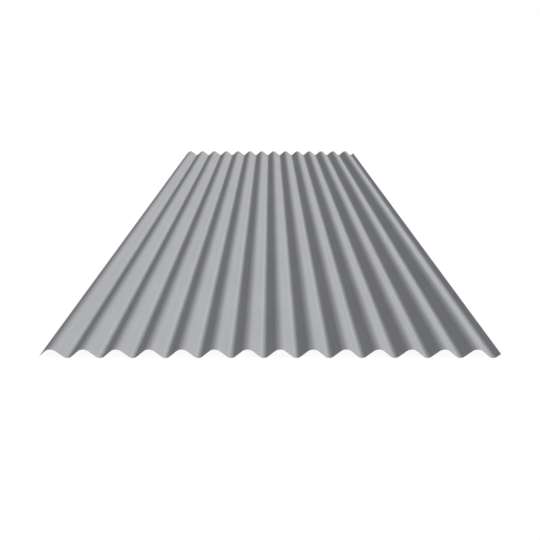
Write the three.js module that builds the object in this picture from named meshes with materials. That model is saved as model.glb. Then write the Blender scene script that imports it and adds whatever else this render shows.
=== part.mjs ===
// Corrugated metal sheet, cold-rolled from one piece of flat steel. Millimetres, +Z up.
// X runs across the waves and Y along them. The sheet lies on the plane Z = 0, and the
// origin is on that plane, under the middle of the sheet.
import * as THREE from "three";

// Driving dimensions. The wave is measured on the sheet's middle surface.
const LENGTH = 2440; // along the waves
const THICKNESS = 0.7;
const PITCH = 76; // crest to crest
const WAVE_HEIGHT = 22.5; // valley to crest
const WAVE_COUNT = 14; // crests, and as many valleys
const CREST_RADIUS = 19;
const VALLEY_RADIUS = 11;
const VALLEY_LAND = 2; // level strip along the bottom of each valley, which the sheet rests on
const LEFT_EDGE_REACH = 26; // from the first crest out to the left edge, which hangs down
const RIGHT_EDGE_REACH = 17; // from the last valley out to the right edge, which turns up

const FLATS_PER_BEND = 6; // flat facets from the top of a crest, or a land's edge, to the flank
const SHORTEST_FLAT = 0.05; // a facet narrower than this is left out beside a sheet edge
const STEEL_GREY = 0xb2b3b7;

const HALF_WAVE = PITCH / 2;
const HALF_LAND = VALLEY_LAND / 2;
const WIDTH = LEFT_EDGE_REACH + WAVE_COUNT * PITCH - HALF_WAVE + RIGHT_EDGE_REACH;
const FIRST_CREST_X = LEFT_EDGE_REACH - WIDTH / 2;

// From a crest down to a valley the middle line is a crest arc, a straight flank, a valley
// arc and half of the level land, with no kink between them. The flank therefore leaves
// both arcs at one angle from level, and that angle follows from the sizes above.
function flankAngle() {
  const bothRadii = CREST_RADIUS + VALLEY_RADIUS;
  const rise = bothRadii - WAVE_HEIGHT;
  const run = HALF_WAVE - HALF_LAND;
  return Math.atan2(run, rise) - Math.acos(bothRadii / Math.hypot(rise, run));
}

const FLANK_ANGLE = flankAngle();
const CREST_ARC_REACH = CREST_RADIUS * Math.sin(FLANK_ANGLE);
const VALLEY_ARC_REACH = HALF_LAND + VALLEY_RADIUS * Math.sin(FLANK_ANGLE);
const VALLEY_Z = THICKNESS / 2;
const CREST_Z = VALLEY_Z + WAVE_HEIGHT;

// Height of the middle line, and its angle from level, at a distance out from a crest.
function fallFromCrest(distance) {
  const toValley = HALF_WAVE - distance;
  if (distance <= CREST_ARC_REACH) {
    const angle = Math.asin(distance / CREST_RADIUS);
    return { z: CREST_Z - CREST_RADIUS * (1 - Math.cos(angle)), angle };
  }
  if (toValley <= HALF_LAND) {
    return { z: VALLEY_Z, angle: 0 };
  }
  if (toValley <= VALLEY_ARC_REACH) {
    const angle = Math.asin((toValley - HALF_LAND) / VALLEY_RADIUS);
    return { z: VALLEY_Z + VALLEY_RADIUS * (1 - Math.cos(angle)), angle };
  }
  const flankTopZ = CREST_Z - CREST_RADIUS * (1 - Math.cos(FLANK_ANGLE));
  const z = flankTopZ - (distance - CREST_ARC_REACH) * Math.tan(FLANK_ANGLE);
  return { z, angle: FLANK_ANGLE };
}

// A point of the section at x, moved off the middle line by half the thickness, square to
// the sheet: side 1 is the upper face and side -1 the lower one.
function facePoint(x, side) {
  const fromFirst = x - FIRST_CREST_X;
  const fromNearest = fromFirst - PITCH * Math.round(fromFirst / PITCH);
  const { z, angle } = fallFromCrest(Math.abs(fromNearest));
  const offset = (side * THICKNESS) / 2;
  const outward = Math.sign(fromNearest) * Math.sin(angle);
  return new THREE.Vector2(x + offset * outward, z + offset * Math.cos(angle));
}

// Where the section bends, from edge to edge: equal steps of angle around every arc.
function bendStations() {
  const edge = WIDTH / 2;
  const stations = [];
  for (let crest = -1; crest <= WAVE_COUNT; crest += 1) {
    const crestX = FIRST_CREST_X + crest * PITCH;
    const valleyX = crestX + HALF_WAVE;
    for (let step = -FLATS_PER_BEND; step <= FLATS_PER_BEND; step += 1) {
      const turn = (FLANK_ANGLE * step) / FLATS_PER_BEND;
      stations.push(crestX + CREST_RADIUS * Math.sin(turn));
    }
    for (let step = 0; step <= FLATS_PER_BEND; step += 1) {
      const turn = (FLANK_ANGLE * step) / FLATS_PER_BEND;
      const reach = HALF_LAND + VALLEY_RADIUS * Math.sin(turn);
      stations.push(valleyX - reach, valleyX + reach);
    }
  }
  const inside = stations.filter((x) => Math.abs(x) < edge - SHORTEST_FLAT);
  return [-edge, ...inside.sort((a, b) => a - b), edge];
}

// The rolled section: the upper face from left to right, then the lower face back again.
function section() {
  const stations = bendStations();
  const upper = stations.map((x) => facePoint(x, 1));
  const lower = stations.map((x) => facePoint(x, -1)).reverse();
  return new THREE.Shape([...upper, ...lower]);
}

// The section drawn out along the waves, laid with its crests up.
function corrugatedSheet() {
  const geometry = new THREE.ExtrudeGeometry(section(), { depth: LENGTH, bevelEnabled: false });
  const material = new THREE.MeshStandardMaterial({
    color: STEEL_GREY,
    roughness: 0.5,
    metalness: 0.3,
  });
  const mesh = new THREE.Mesh(geometry, material);
  mesh.name = "corrugated_sheet";
  mesh.rotation.x = Math.PI / 2;
  mesh.position.y = LENGTH / 2;
  return mesh;
}

const sheet = new THREE.Group();
sheet.add(corrugatedSheet());

export default sheet;
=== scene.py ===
"""Corrugated metal sheet: one rolled sheet with its coats and cut edges, on a pale studio floor.

Everything is in metres. X runs across the waves, Y along them, and the sheet lies on Z = 0.
"""
import math

import bpy
from bpy.props import FloatProperty, FloatVectorProperty, IntProperty, PointerProperty
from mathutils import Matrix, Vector


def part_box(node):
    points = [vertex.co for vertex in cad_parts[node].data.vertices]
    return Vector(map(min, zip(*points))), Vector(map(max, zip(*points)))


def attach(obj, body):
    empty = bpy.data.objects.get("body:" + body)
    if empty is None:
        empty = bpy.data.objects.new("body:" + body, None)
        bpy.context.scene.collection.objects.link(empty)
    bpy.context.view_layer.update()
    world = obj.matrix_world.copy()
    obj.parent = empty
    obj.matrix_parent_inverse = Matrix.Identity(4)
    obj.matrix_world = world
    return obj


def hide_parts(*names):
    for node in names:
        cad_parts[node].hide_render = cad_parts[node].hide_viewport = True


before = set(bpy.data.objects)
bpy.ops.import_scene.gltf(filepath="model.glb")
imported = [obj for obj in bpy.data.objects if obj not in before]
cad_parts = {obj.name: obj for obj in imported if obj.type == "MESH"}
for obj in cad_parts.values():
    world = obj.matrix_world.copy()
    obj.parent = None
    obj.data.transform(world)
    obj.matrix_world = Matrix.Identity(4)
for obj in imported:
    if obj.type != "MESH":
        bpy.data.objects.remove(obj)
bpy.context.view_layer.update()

bl_info = {
    "name": "Corrugated Metal Sheet",
    "version": (1, 0, 0),
    "blender": (4, 5, 0),
    "location": "View3D > Sidebar > Sheet",
    "description": "Builds a corrugated metal sheet and a studio to show it in",
    "category": "Add Mesh",
}

SHEET_NODE = "corrugated_sheet"
SHEET_LOW, SHEET_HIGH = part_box(SHEET_NODE)
BODY = "root"
FLAT_MAP = "flat_strip"
MAP_GAP = 0.02  # keeps the sheet's sides apart on the flat map, and spaces its cut edges there


# Sizes and colours that a user would change.


class SheetSize(bpy.types.PropertyGroup):
    """The rolled section. The wave is measured on the sheet's middle surface."""

    length: FloatProperty(
        name="Length", description="Length along the waves",
        default=SHEET_HIGH.y - SHEET_LOW.y, min=0.1, unit="LENGTH")
    depth: FloatProperty(
        name="Depth", description="Height from the underside of a valley to the top of a crest",
        default=SHEET_HIGH.z - SHEET_LOW.z, min=0.005, unit="LENGTH", precision=4)
    thickness: FloatProperty(
        name="Thickness", description="Thickness of the steel with its coats",
        default=0.0007, min=0.0003, unit="LENGTH", precision=4)
    pitch: FloatProperty(
        name="Pitch", description="Distance from crest to crest",
        default=0.076, min=0.03, unit="LENGTH", precision=4)
    waves: IntProperty(
        name="Waves", description="Number of crests, and of valleys",
        default=14, min=1)
    crest_radius: FloatProperty(
        name="Crest Radius", description="Radius of the bend over each crest",
        default=0.019, min=0.003, unit="LENGTH", precision=4)
    valley_radius: FloatProperty(
        name="Valley Radius", description="Radius of the two bends at the foot of each valley",
        default=0.011, min=0.003, unit="LENGTH", precision=4)
    valley_land: FloatProperty(
        name="Valley Land", description="Width of the level strip that the sheet rests on in each valley",
        default=0.002, min=0.0, unit="LENGTH", precision=4)
    left_reach: FloatProperty(
        name="Left Edge Reach", description="From the first crest out to the left edge",
        default=0.026, min=0.005, unit="LENGTH", precision=4)
    right_reach: FloatProperty(
        name="Right Edge Reach", description="From the last valley out to the right edge",
        default=0.017, min=0.005, unit="LENGTH", precision=4)
    rim_radius: FloatProperty(
        name="Rim Radius", description="Rounding that the shears leave along each cut edge",
        default=0.00012, min=0.00001, unit="LENGTH", precision=5)
    bend_faces: IntProperty(
        name="Bend Faces", description="Faces from the level to the steepest part of each bend",
        default=8, min=2)
    rim_faces: IntProperty(
        name="Rim Faces", description="Faces round the rim of each cut edge",
        default=3, min=1)
    length_faces: IntProperty(
        name="Length Faces", description="Faces along the length",
        default=40, min=4)


class SheetFinish(bpy.types.PropertyGroup):
    """Colours of the two coats and of the bare steel between them."""

    top_colour: FloatVectorProperty(
        name="Top Coat", description="Matt paint on the weather side",
        default=(0.445, 0.451, 0.474), size=3, min=0.0, max=1.0, subtype="COLOR")
    back_colour: FloatVectorProperty(
        name="Back Coat", description="Thin primer on the underside",
        default=(0.47, 0.47, 0.46), size=3, min=0.0, max=1.0, subtype="COLOR")
    steel_colour: FloatVectorProperty(
        name="Bare Steel", description="Steel and zinc on the cut edges",
        default=(0.58, 0.58, 0.6), size=3, min=0.0, max=1.0, subtype="COLOR")


class Studio(bpy.types.PropertyGroup):
    """The floor, the lights and the camera."""

    floor_colour: FloatVectorProperty(
        name="Floor", description="Colour of the floor",
        default=(0.8, 0.8, 0.8), size=3, min=0.0, max=1.0, subtype="COLOR")
    floor_glow: FloatProperty(
        name="Floor Glow", description="Brightness of the floor's own white where it is seen",
        default=0.94, min=0.0, max=1.0, subtype="FACTOR")
    floor_shade: FloatProperty(
        name="Floor Shade", description="Share of the floor's light, and so of the shadow, that is seen",
        default=0.12, min=0.0, max=1.0, subtype="FACTOR")
    key_strength: FloatProperty(
        name="Key Strength", description="Brightness of the main lamp, which is on the right",
        default=2.295, min=0.0)
    key_elevation: FloatProperty(
        name="Key Elevation", description="Height of the main lamp over the horizon",
        default=math.radians(38), subtype="ANGLE")
    key_forward: FloatProperty(
        name="Key Forward", description="How far the main lamp is turned from the side towards the front",
        default=math.radians(15), subtype="ANGLE")
    key_softness: FloatProperty(
        name="Key Softness", description="Width of the main lamp as the sheet sees it",
        default=math.radians(15), subtype="ANGLE")
    dome_brightness: FloatProperty(
        name="Dome Brightness", description="Brightness of the room that lights the sheet from all round",
        default=0.292, min=0.0)
    camera_height: FloatProperty(
        name="Camera Height", description="Height of the camera over the floor",
        default=0.680, min=0.1, unit="LENGTH")
    camera_side: FloatProperty(
        name="Camera Side", description="How far the camera stands to the right of the sheet's middle",
        default=-0.0005, unit="LENGTH", precision=4)
    camera_distance: FloatProperty(
        name="Camera Distance", description="Distance of the camera in front of the sheet's near end",
        default=1.090, min=0.1, unit="LENGTH")
    camera_pitch: FloatProperty(
        name="Camera Pitch", description="How far the camera looks down",
        default=math.radians(22.8), subtype="ANGLE")
    camera_lens: FloatProperty(
        name="Camera Lens", description="Focal length in millimetres, on a sensor 36 mm wide",
        default=36.42, min=10.0, unit="CAMERA")


# The rolled section.


class Section:
    """The sheet's middle surface, worked out from its driving sizes: an arc over each crest, a straight
    flank, and an arc down to the level land along each valley. Strip is width on the flat strip that
    the sheet was rolled from."""

    def __init__(self, size):
        self.size = size
        self.wave_height = size.depth - size.thickness
        self.half_pitch = size.pitch / 2
        self.half_land = size.valley_land / 2
        radii = size.crest_radius + size.valley_radius
        rise = radii - self.wave_height
        run = self.half_pitch - self.half_land
        self.flank_tilt = math.atan2(run, rise) - math.acos(radii / math.hypot(rise, run))
        self.crest_reach = size.crest_radius * math.sin(self.flank_tilt)
        self.valley_reach = size.valley_radius * math.sin(self.flank_tilt) + self.half_land
        flank_run = self.half_pitch - self.crest_reach - self.valley_reach
        if flank_run <= 0:
            raise ValueError("the bends are too wide for the pitch")
        self.crest_strip = size.crest_radius * self.flank_tilt
        self.flank_strip = flank_run / math.cos(self.flank_tilt)
        valley_strip = size.valley_radius * self.flank_tilt + self.half_land
        self.half_strip = self.crest_strip + self.flank_strip + valley_strip
        first_crest_to_last_valley = (size.waves - 0.5) * size.pitch
        width = size.left_reach + first_crest_to_last_valley + size.right_reach
        self.left = -width / 2
        self.right = width / 2
        self.first_crest = self.left + size.left_reach
        self.left_strip = self.at(self.left)[2]
        self.under_place = self.at(self.right)[2] - self.left_strip + MAP_GAP

    def from_crest(self, distance):
        """(height over the lowest middle surface, tilt, strip) at up to half a pitch from a crest."""
        size = self.size
        to_valley = self.half_pitch - distance
        if distance < self.crest_reach:
            tilt = math.asin(distance / size.crest_radius)
            height = self.wave_height - size.crest_radius * (1 - math.cos(tilt))
            return height, tilt, size.crest_radius * tilt
        if to_valley > self.valley_reach:
            past_bend = distance - self.crest_reach
            crest_drop = size.crest_radius * (1 - math.cos(self.flank_tilt))
            height = self.wave_height - crest_drop - past_bend * math.tan(self.flank_tilt)
            return height, self.flank_tilt, self.crest_strip + past_bend / math.cos(self.flank_tilt)
        if to_valley > self.half_land:
            tilt = math.asin((to_valley - self.half_land) / size.valley_radius)
            height = size.valley_radius * (1 - math.cos(tilt))
            return height, tilt, self.half_strip - self.half_land - size.valley_radius * tilt
        return 0.0, 0.0, self.half_strip - to_valley

    def at(self, x):
        """(height, tilt down towards +X, strip out from the first crest) at a place across the sheet."""
        wave = round((x - self.first_crest) / self.size.pitch)
        offset = x - self.first_crest - wave * self.size.pitch
        height, tilt, strip = self.from_crest(min(abs(offset), self.half_pitch))
        side = math.copysign(1.0, offset)
        return height + self.size.thickness / 2, side * tilt, 2 * wave * self.half_strip + side * strip

    def bend_places(self):
        """Places across the sheet, with equal steps of tilt round every bend."""
        size = self.size
        tilts = [self.flank_tilt * step / size.bend_faces for step in range(size.bend_faces + 1)]
        land_edge = self.half_pitch - self.half_land
        reaches = [size.crest_radius * math.sin(tilt) for tilt in tilts]
        reaches += [land_edge - size.valley_radius * math.sin(tilt) for tilt in reversed(tilts)]
        both_sides = [-reach for reach in reaches[:0:-1]] + reaches
        crests = [self.first_crest + wave * size.pitch for wave in range(-1, size.waves + 1)]
        return [crest + reach for crest in crests for reach in both_sides]


# The sheet's mesh: a grid of columns and rows on each side, joined along the cut edges.


class GridLine:
    """A column or row of the grid: its place, how far the rim has thinned each side of the sheet there,
    and the angle by which the rim turns its normal outwards."""

    def __init__(self, place, thinned=0.0, lean=0.0):
        self.place = place
        self.thinned = thinned
        self.lean = lean


def rim_lines(size, edge, outwards, slope):
    """Lines round the rim at an edge, from the edge inwards."""
    lines = []
    for step in range(size.rim_faces + 1):
        lean = math.pi / 2 * (1 - step / size.rim_faces)
        inwards = size.rim_radius * (1 - math.sin(lean)) * slope
        thinned = size.rim_radius * (1 - math.cos(lean))
        lines.append(GridLine(edge - outwards * inwards, thinned, outwards * lean))
    return lines


def grid_lines(size, low, high, inner_places, low_slope=1.0, high_slope=1.0):
    """All lines from one edge to the other. Each slope is how far a place moves, at that edge, for
    every metre along the sheet's surface."""
    first = rim_lines(size, low, -1, low_slope)
    last = rim_lines(size, high, 1, high_slope)
    inner = [GridLine(place) for place in inner_places if first[-1].place < place < last[-1].place]
    return first + inner + last[::-1]


def sheet_columns(size, section):
    """Lines along the waves, from the left edge to the right one."""
    left_slope = math.cos(section.at(section.left)[1])
    right_slope = math.cos(section.at(section.right)[1])
    return grid_lines(size, section.left, section.right, section.bend_places(), left_slope, right_slope)


def sheet_rows(size):
    """Lines across the waves, from the near end to the far one."""
    places = [size.length * (step / size.length_faces - 0.5) for step in range(1, size.length_faces)]
    return grid_lines(size, -size.length / 2, size.length / 2, places)


def grid_points(size, section, columns, rows):
    """(points, normals) of the top side's grid and then the underside's, column by column."""
    points = []
    normals = []
    for side in (1, -1):
        for column in columns:
            height, tilt, _ = section.at(column.place)
            middle = Vector((column.place, 0, height))
            square = Vector((math.sin(tilt), 0, math.cos(tilt))) * side
            across = Vector((math.cos(tilt), 0, -math.sin(tilt))) * math.sin(column.lean)
            for row in rows:
                reach = size.thickness / 2 - max(column.thinned, row.thinned)
                points.append(middle + square * reach + Vector((0, row.place, 0)))
                facing = square * math.cos(column.lean) * math.cos(row.lean)
                normals.append((facing + across + Vector((0, math.sin(row.lean), 0))).normalized())
    return points, normals


# The sheet's materials, by their numbers in its mesh.
TOP_COAT, BACK_COAT, CUT_EDGE = range(3)


def sheet_patches(size, section, columns, rows):
    """The sheet's six sides, each (material, grid), where a grid holds (point, place on the flat map).
    The map is the strip before rolling: the top side, the underside beside it, and below them the
    four cut edges, each as a band of its own with the underside's edge at its foot."""
    strips = [section.at(column.place)[2] - section.left_strip for column in columns]
    under_strips = [strip + section.under_place for strip in strips]
    alongs = [row.place + size.length / 2 for row in rows]
    column_numbers = range(len(columns))
    row_numbers = range(len(rows))

    def point(lower, column, row):
        return (lower * len(columns) + column) * len(rows) + row

    def band_height(lower, band):
        return (1 - lower) * size.thickness - band * MAP_GAP

    def end_band(row, band):
        return [[(point(lower, i, row), (strips[i], band_height(lower, band))) for lower in (1, 0)]
                for i in column_numbers]

    def side_band(column, band):
        return [[(point(lower, column, j), (alongs[j], band_height(lower, band))) for lower in (1, 0)]
                for j in row_numbers]

    top = [[(point(0, i, j), (strips[i], alongs[j])) for j in row_numbers] for i in column_numbers]
    underside = [[(point(1, i, j), (under_strips[i], alongs[j])) for i in column_numbers]
                 for j in row_numbers]
    return [
        (TOP_COAT, top),
        (BACK_COAT, underside),
        (CUT_EDGE, end_band(0, band=1)),
        (CUT_EDGE, turned(end_band(len(rows) - 1, band=2))),
        (CUT_EDGE, turned(side_band(0, band=3))),
        (CUT_EDGE, side_band(len(columns) - 1, band=4)),
    ]


def turned(grid):
    """The same grid with its rows and columns exchanged, so that its faces point the other way."""
    return [list(line) for line in zip(*grid)]


def build_sheet_mesh(size, section):
    """The sheet as one closed mesh, with its materials' numbers, its flat map and smooth normals."""
    columns = sheet_columns(size, section)
    rows = sheet_rows(size)
    points, normals = grid_points(size, section, columns, rows)
    faces = []
    places = []
    materials = []
    for material, grid in sheet_patches(size, section, columns, rows):
        for line, next_line in zip(grid, grid[1:]):
            for corners in zip(line, next_line, next_line[1:], line[1:]):
                faces.append([number for number, _ in corners])
                places += [place for _, place in corners]
                materials.append(material)
    mesh = bpy.data.meshes.new(SHEET_NODE)
    mesh.from_pydata(points, [], faces)
    mesh.polygons.foreach_set("material_index", materials)
    flat_map = mesh.uv_layers.new(name=FLAT_MAP)
    flat_map.uv.foreach_set("vector", [coordinate for place in places for coordinate in place])
    mesh.normals_split_custom_set_from_vertices(normals)
    if mesh.validate():
        raise ValueError("the sheet's mesh has faults")
    return mesh


# Helpers for node trees.


def add_node(tree, kind, values=None, **settings):
    """A new node. Each value is a number or colour for that input, or an output to link to it."""
    node = tree.nodes.new(kind)
    for name, setting in settings.items():
        setattr(node, name, setting)
    for name, value in (values or {}).items():
        if isinstance(value, bpy.types.NodeSocket):
            tree.links.new(value, node.inputs[name])
        else:
            node.inputs[name].default_value = value
    return node


def calculate(tree, operation, *values):
    """The output of a math node."""
    return add_node(tree, "ShaderNodeMath", dict(enumerate(values)), operation=operation).outputs[0]


def move_range(tree, value, from_low, from_high, to_low, to_high, kind="LINEAR"):
    """The value moved from one range to another and held inside it."""
    values = {
        "Value": value, "From Min": from_low, "From Max": from_high, "To Min": to_low, "To Max": to_high}
    return add_node(tree, "ShaderNodeMapRange", values, interpolation_type=kind).outputs["Result"]


def axes(tree, vector):
    """The X, Y and Z outputs of a vector."""
    return add_node(tree, "ShaderNodeSeparateXYZ", {"Vector": vector}).outputs


def noise(tree, place, size, detail, roughness):
    """Even noise over the flat map, with features of the given size."""
    scaled = add_node(tree, "ShaderNodeVectorMath", {0: place, 1: size}, operation="DIVIDE")
    values = {"Vector": scaled.outputs[0], "Scale": 1.0, "Detail": detail, "Roughness": roughness}
    return add_node(tree, "ShaderNodeTexNoise", values, noise_dimensions="2D").outputs[0]


def new_group(name, inputs, outputs):
    """(new node group, its inputs' values, its outputs' targets). Each input is (name, type, default)."""
    group = bpy.data.node_groups.new(name, "ShaderNodeTree")
    for label, kind, default in inputs:
        socket = group.interface.new_socket(label, in_out="INPUT", socket_type=kind)
        if default is not None:
            socket.default_value = default
    for label, kind in outputs:
        group.interface.new_socket(label, in_out="OUTPUT", socket_type=kind)
    return group, group.nodes.new("NodeGroupInput").outputs, group.nodes.new("NodeGroupOutput").inputs


def use_group(tree, build, values):
    """Places a node group in a tree, and builds the group the first time."""
    group = bpy.data.node_groups.get(build.__name__) or build()
    return add_node(tree, "ShaderNodeGroup", values, node_tree=group).outputs


FLOAT, VECTOR, COLOUR = "NodeSocketFloat", "NodeSocketVector", "NodeSocketColor"


# Surface effects that the coats and the cut edges share.


# The spans of noise that are spread from 0 to 1, as lines and as patches.
LINE_NOISE = (0.28, 0.72)
PATCH_NOISE = (0.3, 0.7)


def drawn_lines():
    """Lines drawn out along the strip, as rollers and shears leave them, from 0 to 1."""
    group, inputs, outputs = new_group(
        "drawn_lines",
        [("Place", VECTOR, None), ("Line Width", FLOAT, 0.004), ("Line Length", FLOAT, 0.6)],
        [("Lines", FLOAT)])
    spacing = add_node(
        group, "ShaderNodeCombineXYZ", {"X": inputs["Line Width"], "Y": inputs["Line Length"], "Z": 1.0})
    lines = noise(group, inputs["Place"], spacing.outputs[0], detail=2.0, roughness=0.6)
    group.links.new(move_range(group, lines, *LINE_NOISE, 0.0, 1.0), outputs["Lines"])
    return group


def bend_wear_and_shade():
    """Marks of the forming rolls, and a band over the bends. Marks, from 0 to 1, are where the rolls
    pressed hardest, at both ends of every flank. The band is 1 over the crests and -1 in the valleys, and
    its shift is how far to the left of the bends it lies. The top coat uses the band for painted shade
    over the crests and painted light in the valleys."""
    group, inputs, outputs = new_group(
        "bend_wear_and_shade",
        [("Place", VECTOR, None), ("First Crest", FLOAT, 0.0), ("Crest To Valley", FLOAT, 0.05),
         ("Flank Start", FLOAT, 0.015), ("Flank End", FLOAT, 0.035), ("Mark Width", FLOAT, 0.003),
         ("Crest Band Reach", FLOAT, 0.01), ("Crest Band Shift", FLOAT, 0.0)],
        [("Marks", FLOAT), ("Crest Band", FLOAT)])
    across = axes(group, inputs["Place"])["X"]
    from_first = calculate(group, "SUBTRACT", across, inputs["First Crest"])
    from_crest = calculate(group, "PINGPONG", from_first, inputs["Crest To Valley"])
    from_start, from_end = [
        calculate(group, "ABSOLUTE", calculate(group, "SUBTRACT", from_crest, inputs[bend_end]))
        for bend_end in ("Flank Start", "Flank End")]
    nearest = calculate(group, "MINIMUM", from_start, from_end)
    marks = move_range(group, nearest, 0.0, inputs["Mark Width"], 1.0, 0.0, "SMOOTHSTEP")
    group.links.new(marks, outputs["Marks"])
    shifted = calculate(group, "ADD", from_first, inputs["Crest Band Shift"])
    from_band_crest = calculate(group, "PINGPONG", shifted, inputs["Crest To Valley"])
    from_band_valley = calculate(group, "SUBTRACT", inputs["Crest To Valley"], from_band_crest)
    crest_side, valley_side = [
        move_range(group, distance, 0.0, inputs["Crest Band Reach"], 1.0, 0.0, "SMOOTHSTEP")
        for distance in (from_band_crest, from_band_valley)]
    group.links.new(calculate(group, "SUBTRACT", crest_side, valley_side), outputs["Crest Band"])
    return group


def coat_tone():
    """A colour with faint lengthwise streaks, wide cloudy patches, the bend marks, and a band that makes
    the crests darker or lighter than the valleys. On the top coat that band is painted shade over the
    crests and painted light in the valleys.
    """
    group, inputs, outputs = new_group(
        "coat_tone",
        [("Place", VECTOR, None), ("Colour", COLOUR, (0.5, 0.5, 0.5, 1.0)),
         ("Streaks", FLOAT, 0.5), ("Streak Change", FLOAT, 0.03),
         ("Patch Size", FLOAT, 0.2), ("Patch Change", FLOAT, 0.02),
         ("Marks", FLOAT, 0.0), ("Mark Change", FLOAT, 0.0),
         ("Crest Band", FLOAT, 0.0), ("Crest Band Change", FLOAT, 0.0)],
        [("Colour", COLOUR)])
    clouds = noise(group, inputs["Place"], inputs["Patch Size"], detail=3.0, roughness=0.55)
    patches = move_range(group, clouds, *PATCH_NOISE, 0.0, 1.0, "SMOOTHSTEP")
    marked = calculate(group, "MULTIPLY", inputs["Marks"], inputs["Mark Change"])
    change = calculate(group, "MULTIPLY_ADD", inputs["Crest Band"], inputs["Crest Band Change"], marked)
    effects = ((inputs["Streaks"], inputs["Streak Change"]), (patches, inputs["Patch Change"]))
    for effect, amount in effects:
        both_ways = calculate(group, "SUBTRACT", effect, 0.5)
        change = calculate(group, "MULTIPLY_ADD", both_ways, amount, change)
    brightness = calculate(group, "ADD", change, 1.0)
    toned = add_node(
        group, "ShaderNodeVectorMath", {0: inputs["Colour"], "Scale": brightness}, operation="SCALE")
    group.links.new(toned.outputs[0], outputs["Colour"])
    return group


def fine_relief():
    """Height in metres of a surface: fine pits, like a paint film's orange peel, over drawn lines."""
    group, inputs, outputs = new_group(
        "fine_relief",
        [("Place", VECTOR, None), ("Pit Size", FLOAT, 0.0015), ("Pit Depth", FLOAT, 0.00001),
         ("Lines", FLOAT, 0.5), ("Line Depth", FLOAT, 0.00001)],
        [("Height", FLOAT)])
    pitted = noise(group, inputs["Place"], inputs["Pit Size"], detail=1.0, roughness=0.4)
    pits = calculate(group, "MULTIPLY", pitted, inputs["Pit Depth"])
    height = calculate(group, "MULTIPLY_ADD", inputs["Lines"], inputs["Line Depth"], pits)
    group.links.new(height, outputs["Height"])
    return group


# Materials.


def new_material(name):
    """A material with an empty tree, its Principled BSDF and its place on the flat map."""
    material = bpy.data.materials.new(name)
    material.use_nodes = True
    tree = material.node_tree
    tree.nodes.clear()
    surface = add_node(tree, "ShaderNodeBsdfPrincipled")
    add_node(tree, "ShaderNodeOutputMaterial", {"Surface": surface.outputs["BSDF"]})
    place = add_node(tree, "ShaderNodeUVMap", uv_map=FLAT_MAP).outputs["UV"]
    return material, tree, surface.inputs, place


def set_relief(tree, surface, height):
    """Gives a surface a relief from its height in metres."""
    bump = add_node(tree, "ShaderNodeBump", {"Strength": 1.0, "Distance": 1.0, "Height": height})
    tree.links.new(bump.outputs["Normal"], surface["Normal"])


BEND_POLISH = 0.08  # how much smoother a coat is where the rolls pressed hardest
# The crest and valley band is what the top coat uses for painted shade over the crests and painted light
# in the valleys.
CREST_BAND_REACH = 0.0093  # how far the crest and valley band fades out on each side of its middle
CREST_BAND_SHIFT = 0.0036  # how far to the left of the bends the crest and valley band lies


def rolled_coat(name, section, first_crest, gloss, roughness, mark_width, streaks, tone, lines, relief):
    """A coat that was laid on the flat strip and rolled with it. First crest is the place of that crest
    across the coat's side of the flat map, and roughness is its (lowest, highest) before the rolls'
    polish. Streaks, tone, lines and relief hold the coat's own values for the shared effects."""
    material, tree, surface, place = new_material(name)
    surface["Specular IOR Level"].default_value = gloss
    streak_mask = use_group(tree, drawn_lines, {"Place": place, **streaks})["Lines"]
    bends = use_group(tree, bend_wear_and_shade, {
        "Place": place, "First Crest": first_crest, "Crest To Valley": section.half_strip,
        "Flank Start": section.crest_strip, "Flank End": section.crest_strip + section.flank_strip,
        "Mark Width": mark_width, "Crest Band Reach": CREST_BAND_REACH, "Crest Band Shift": CREST_BAND_SHIFT})
    toned = use_group(tree, coat_tone, {
        "Place": place, "Streaks": streak_mask, "Marks": bends["Marks"], "Crest Band": bends["Crest Band"],
        **tone})
    tree.links.new(toned["Colour"], surface["Base Color"])
    streaked = move_range(tree, streak_mask, 0.0, 1.0, *roughness)
    polished = calculate(tree, "MULTIPLY_ADD", bends["Marks"], -BEND_POLISH, streaked)
    tree.links.new(polished, surface["Roughness"])
    line_mask = use_group(tree, drawn_lines, {"Place": place, **lines})["Lines"]
    height = use_group(tree, fine_relief, {"Place": place, "Lines": line_mask, **relief})["Height"]
    set_relief(tree, surface, height)
    return material


def top_coat(finish, section):
    """Matt paint, laid on the coil before rolling, with painted shade darkening the crests and painted
    light brightening the valleys.
    """
    return rolled_coat(
        "top_coat", section, first_crest=-section.left_strip,
        gloss=0.02, roughness=(0.72, 0.8), mark_width=0.003,
        streaks={"Line Width": 0.006, "Line Length": 1.2},
        tone={
            "Colour": (*finish.top_colour, 1.0), "Streak Change": 0.06, "Patch Size": 0.18,
            # The last change on the next line is painted shade over the crests and painted light in the
            # valleys.
            "Patch Change": 0.03, "Mark Change": 0.012, "Crest Band Change": -0.12},
        lines={"Line Width": 0.0012, "Line Length": 0.25},
        relief={"Pit Size": 0.0016, "Pit Depth": 0.000012, "Line Depth": 0.000004})


def back_coat(finish, section):
    """Thin matt primer, which shows more of the rolls' lines and marks. It is a little lighter under the
    crests and darker under the valleys."""
    return rolled_coat(
        "back_coat", section, first_crest=section.under_place - section.left_strip,
        gloss=0.15, roughness=(0.68, 0.8), mark_width=0.004,
        streaks={"Line Width": 0.004, "Line Length": 0.9},
        tone={
            "Colour": (*finish.back_colour, 1.0), "Streak Change": 0.12, "Patch Size": 0.12,
            "Patch Change": 0.08, "Mark Change": 0.04, "Crest Band Change": 0.05},
        lines={"Line Width": 0.001, "Line Length": 0.2},
        relief={"Pit Size": 0.0011, "Pit Depth": 0.000008, "Line Depth": 0.000009})


# Heights on a cut edge, as shares of the thickness over the underside: how much the blade's lines add
# to them, from where to where the torn steel ends, and from where to where the dragged paint begins.
BLADE_LINE_RISE = 0.15
TORN_END = (0.6, 0.75)
PAINT_START = (0.95, 1.05)

STEEL_METALLIC = 0.9
BURNISHED_ROUGHNESS = 0.35
TORN_ROUGHNESS = 0.62
BURNISHED_LINE_DEPTH = 0.000008
TORN_LINE_DEPTH = 0.00003


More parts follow.
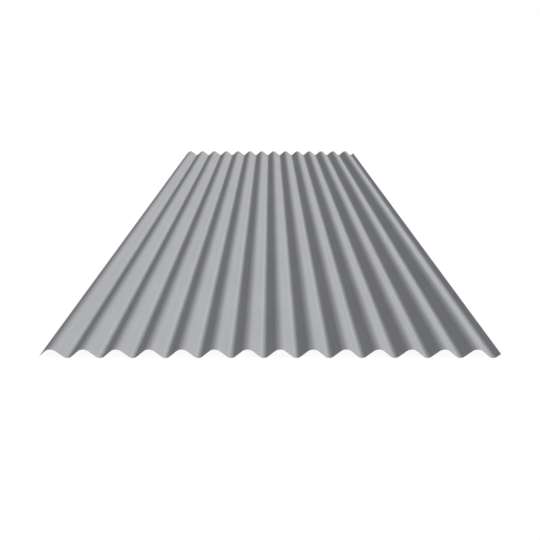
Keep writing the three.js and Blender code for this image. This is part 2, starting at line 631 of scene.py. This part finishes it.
def cut_edge(finish, thickness):
    """Bare steel under a rag of paint that the blade dragged down. The steel is burnished where the
    blade went in, and below that it tore off and is rough."""
    material, tree, surface, place = new_material("cut_edge")
    from_foot = calculate(tree, "FLOORED_MODULO", axes(tree, place)["Y"], MAP_GAP)
    height = calculate(tree, "DIVIDE", from_foot, thickness)
    blade_lines = use_group(tree, drawn_lines, {
        "Place": place, "Line Width": 0.00015, "Line Length": thickness})["Lines"]
    ragged_height = calculate(tree, "MULTIPLY_ADD", blade_lines, BLADE_LINE_RISE, height)
    torn = move_range(tree, ragged_height, *TORN_END, 1.0, 0.0, "SMOOTHSTEP")
    painted = move_range(tree, ragged_height, *PAINT_START, 0.0, 1.0, "SMOOTHSTEP")
    steel = use_group(tree, coat_tone, {
        "Place": place, "Colour": (*finish.steel_colour, 1.0), "Streaks": blade_lines,
        "Streak Change": 0.3, "Patch Size": 0.03, "Patch Change": 0.15, "Marks": torn,
        "Mark Change": -0.2})
    colour = add_node(
        tree, "ShaderNodeMix", {"Factor": painted, "A": steel["Colour"], "B": (*finish.top_colour, 1.0)},
        data_type="RGBA")
    tree.links.new(colour.outputs["Result"], surface["Base Color"])
    metallic = move_range(tree, painted, 0.0, 1.0, STEEL_METALLIC, 0.0)
    tree.links.new(metallic, surface["Metallic"])
    roughness = move_range(tree, torn, 0.0, 1.0, BURNISHED_ROUGHNESS, TORN_ROUGHNESS)
    tree.links.new(roughness, surface["Roughness"])
    line_depth = move_range(tree, torn, 0.0, 1.0, BURNISHED_LINE_DEPTH, TORN_LINE_DEPTH)
    relief = use_group(tree, fine_relief, {
        "Place": place, "Pit Size": 0.0003, "Pit Depth": 0.000006, "Lines": blade_lines,
        "Line Depth": line_depth})
    set_relief(tree, surface, relief["Height"])
    return material


class CORRUGATED_OT_sheet(bpy.types.Operator):
    """Builds the corrugated sheet"""

    bl_idname = "corrugated.sheet"
    bl_label = "Add Corrugated Sheet"
    bl_options = {"REGISTER", "UNDO"}

    def execute(self, context):
        size = context.scene.sheet_size
        finish = context.scene.sheet_finish
        section = Section(size)
        mesh = build_sheet_mesh(size, section)
        mesh.materials.append(top_coat(finish, section))
        mesh.materials.append(back_coat(finish, section))
        mesh.materials.append(cut_edge(finish, size.thickness))
        sheet = bpy.data.objects.new("rolled_sheet", mesh)
        context.scene.collection.objects.link(sheet)
        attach(sheet, BODY)
        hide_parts(SHEET_NODE)
        return {"FINISHED"}


# The studio.


def seen_directly(tree):
    """1 where the camera sees a surface by itself, in a reflection or through glass, and 0 for light."""
    path = add_node(tree, "ShaderNodeLightPath").outputs
    seen = calculate(tree, "MAXIMUM", path["Is Camera Ray"], path["Is Glossy Ray"])
    return calculate(tree, "MAXIMUM", seen, path["Is Transmission Ray"])


FLOOR_SIZE = 60.0
FLOOR_DROP = 0.0002  # keeps the floor just clear of the sheet's underside
LAMP_DISTANCE = 3.0


def floor_material(studio):
    """Matt and pale for the light. Where it is seen, most of its white is its own, so that the open
    floor is white and the sheet's shadow stays faint."""
    material = bpy.data.materials.new("studio_floor")
    material.use_nodes = True
    tree = material.node_tree
    tree.nodes.clear()
    seen = seen_directly(tree)
    lit_share = move_range(tree, seen, 0.0, 1.0, 1.0, studio.floor_shade)
    colour = add_node(
        tree, "ShaderNodeVectorMath", {0: studio.floor_colour, "Scale": lit_share}, operation="SCALE")
    matt = add_node(tree, "ShaderNodeBsdfDiffuse", {"Color": colour.outputs[0]})
    glow = calculate(tree, "MULTIPLY", seen, studio.floor_glow)
    white = add_node(tree, "ShaderNodeEmission", {"Color": (1.0, 1.0, 1.0, 1.0), "Strength": glow})
    both = add_node(tree, "ShaderNodeAddShader", {0: matt.outputs[0], 1: white.outputs[0]})
    add_node(tree, "ShaderNodeOutputMaterial", {"Surface": both.outputs[0]})
    return material


def add_floor(context, studio):
    half = FLOOR_SIZE / 2
    mesh = bpy.data.meshes.new("studio_floor")
    corners = [(-half, -half, 0), (half, -half, 0), (half, half, 0), (-half, half, 0)]
    mesh.from_pydata(corners, [], [(0, 1, 2, 3)])
    mesh.materials.append(floor_material(studio))
    floor = bpy.data.objects.new("studio_floor", mesh)
    floor.location.z = -FLOOR_DROP
    context.scene.collection.objects.link(floor)


def add_room(context, studio):
    """A world that lights the sheet evenly from all round, and is white where it is seen."""
    world = bpy.data.worlds.new("studio_room")
    world.use_nodes = True
    tree = world.node_tree
    tree.nodes.clear()
    brightness = move_range(tree, seen_directly(tree), 0.0, 1.0, studio.dome_brightness, 1.0)
    background = add_node(
        tree, "ShaderNodeBackground", {"Color": (1.0, 1.0, 1.0, 1.0), "Strength": brightness})
    add_node(tree, "ShaderNodeOutputWorld", {"Surface": background.outputs[0]})
    context.scene.world = world


def add_key_lamp(context, studio):
    lamp = bpy.data.lights.new("key_lamp", "SUN")
    lamp.energy = studio.key_strength
    lamp.angle = studio.key_softness
    key = bpy.data.objects.new("key_lamp", lamp)
    level = math.cos(studio.key_elevation)
    to_right = level * math.cos(studio.key_forward)
    to_front = level * math.sin(studio.key_forward)
    towards_lamp = Vector((to_right, -to_front, math.sin(studio.key_elevation)))
    key.rotation_euler = towards_lamp.to_track_quat("Z", "Y").to_euler()
    key.location = towards_lamp * LAMP_DISTANCE
    context.scene.collection.objects.link(key)


def add_camera(context, studio):
    data = bpy.data.cameras.new("studio_camera")
    data.lens = studio.camera_lens
    camera = bpy.data.objects.new("studio_camera", data)
    near_end = -context.scene.sheet_size.length / 2
    camera.location = (studio.camera_side, near_end - studio.camera_distance, studio.camera_height)
    camera.rotation_euler = (math.pi / 2 - studio.camera_pitch, 0, 0)
    context.scene.collection.objects.link(camera)
    context.scene.camera = camera


class CORRUGATED_OT_studio(bpy.types.Operator):
    """Builds the floor, the room, the lamp and the camera"""

    bl_idname = "corrugated.studio"
    bl_label = "Add Studio"
    bl_options = {"REGISTER", "UNDO"}

    def execute(self, context):
        studio = context.scene.studio
        add_floor(context, studio)
        add_room(context, studio)
        add_key_lamp(context, studio)
        add_camera(context, studio)
        context.scene.view_settings.view_transform = "Standard"
        return {"FINISHED"}


class CORRUGATED_PT_build(bpy.types.Panel):
    """Lists the pieces that can be built and their sizes and colours"""

    bl_label = "Corrugated Sheet"
    bl_idname = "CORRUGATED_PT_build"
    bl_space_type = "VIEW_3D"
    bl_region_type = "UI"
    bl_category = "Sheet"

    def draw(self, context):
        parts = [
            (CORRUGATED_OT_sheet, [context.scene.sheet_size, context.scene.sheet_finish]),
            (CORRUGATED_OT_studio, [context.scene.studio]),
        ]
        for operator, groups in parts:
            box = self.layout.box()
            box.operator(operator.bl_idname)
            for group in groups:
                for name in type(group).__annotations__:
                    box.prop(group, name)


CLASSES = (SheetSize, SheetFinish, Studio, CORRUGATED_OT_sheet, CORRUGATED_OT_studio, CORRUGATED_PT_build)


def register():
    for cls in CLASSES:
        bpy.utils.register_class(cls)
    bpy.types.Scene.sheet_size = PointerProperty(type=SheetSize)
    bpy.types.Scene.sheet_finish = PointerProperty(type=SheetFinish)
    bpy.types.Scene.studio = PointerProperty(type=Studio)


def unregister():
    del bpy.types.Scene.studio
    del bpy.types.Scene.sheet_finish
    del bpy.types.Scene.sheet_size
    for cls in reversed(CLASSES):
        bpy.utils.unregister_class(cls)


def main():
    register()
    bpy.ops.corrugated.sheet()
    bpy.ops.corrugated.studio()


if __name__ == "__main__":
    main()
